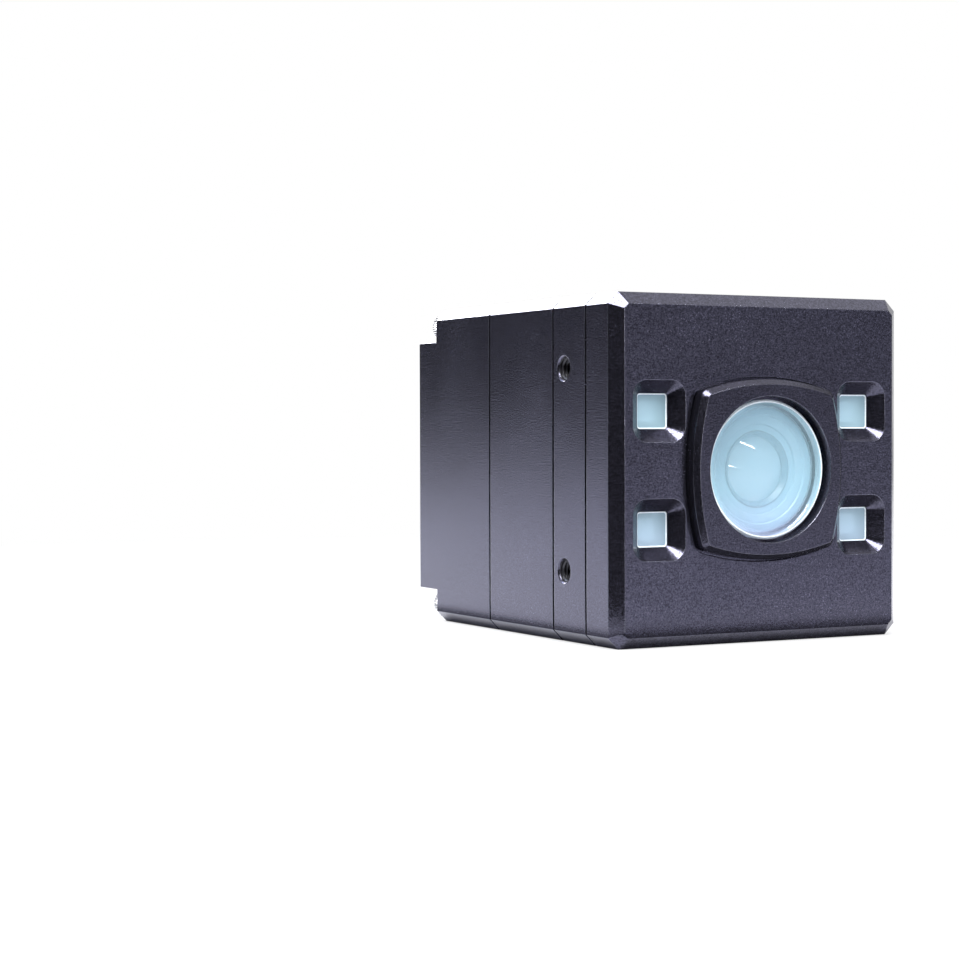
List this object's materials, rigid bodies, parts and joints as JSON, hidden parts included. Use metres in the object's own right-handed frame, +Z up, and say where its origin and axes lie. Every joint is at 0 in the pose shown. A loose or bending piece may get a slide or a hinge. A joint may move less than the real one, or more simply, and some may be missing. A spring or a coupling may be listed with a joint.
{
  "type": "machine vision camera",
  "caption": "Compact square time-of-flight machine vision camera with a large lens window and four laser windows.",
  "frame": {"origin": "under the middle of the camera's outline, on the flat that it stands on", "axes": "the camera looks along -Y, its sockets face +Y, +Z is up and +X is to the right seen from the front"},
  "size_m": [0.06, 0.0776, 0.06],
  "materials": {
    "housing": "anodised, bead blasted",
    "window_glass": "coated, clear",
    "laser_glass": "coated, diffusing",
    "emitter": "matt",
    "circuit_board": "satin",
    "chip": "matt",
    "thermal_pad": "matt",
    "lens_black": "black anodised",
    "lens_glass": "coated, clear",
    "sensor": "gloss",
    "bare_metal": "bare, milled",
    "connector": "matt",
    "flat_cable": "gloss",
    "socket_metal": "turned, satin",
    "shield_metal": "satin",
    "socket_plastic": "matt",
    "contact": "gloss",
    "light_pipe": "frosted",
    "lamp": "gloss",
    "screw_steel": "bright",
    "seal": "matt"
  },
  "bodies": {
    "root": {"front_housing": "housing", "window_bezel": "housing", "mount_ring": "housing", "middle_housing": "housing", "rear_cover": "housing", "lens_window": "window_glass", "laser_window_upper_right": "laser_glass", "laser_window_upper_left": "laser_glass", "laser_window_lower_left": "laser_glass", "laser_window_lower_right": "laser_glass", "laser_emitter_upper_right": "emitter", "laser_emitter_upper_left": "emitter", "laser_emitter_lower_left": "emitter", "laser_emitter_lower_right": "emitter", "illuminator_board": "circuit_board", "sensor_board": "circuit_board", "processor_board": "circuit_board", "interface_board": "circuit_board", "laser_driver_right": "chip", "laser_driver_left": "chip", "processor_chip": "chip", "memory_chip_right": "chip", "memory_chip_left": "chip", "network_transformer": "chip", "network_chip": "chip", "power_inductor": "chip", "power_chip": "chip", "laser_pad_right": "thermal_pad", "laser_pad_left": "thermal_pad", "processor_pad": "thermal_pad", "lens_barrel": "lens_black", "lens_holder": "lens_black", "lens_front_element": "lens_glass", "band_filter": "lens_glass", "image_sensor": "sensor", "heat_spreader": "bare_metal", "spreader_standoffs": "bare_metal", "sensor_connector": "connector", "processor_header": "connector", "interface_header": "connector", "illuminator_cable": "flat_cable", "board_ribbon": "flat_cable", "lan_shell": "socket_metal", "io_shell": "socket_metal", "lan_shield": "shield_metal", "lan_insert": "socket_plastic", "io_insert": "socket_plastic", "lan_contacts": "contact", "io_contacts": "contact", "light_pipe": "light_pipe", "status_lamp": "lamp", "cover_screws": "screw_steel", "front_gasket": "seal", "ring_gasket": "seal", "rear_gasket": "seal"}
  },
  "joints": []
}
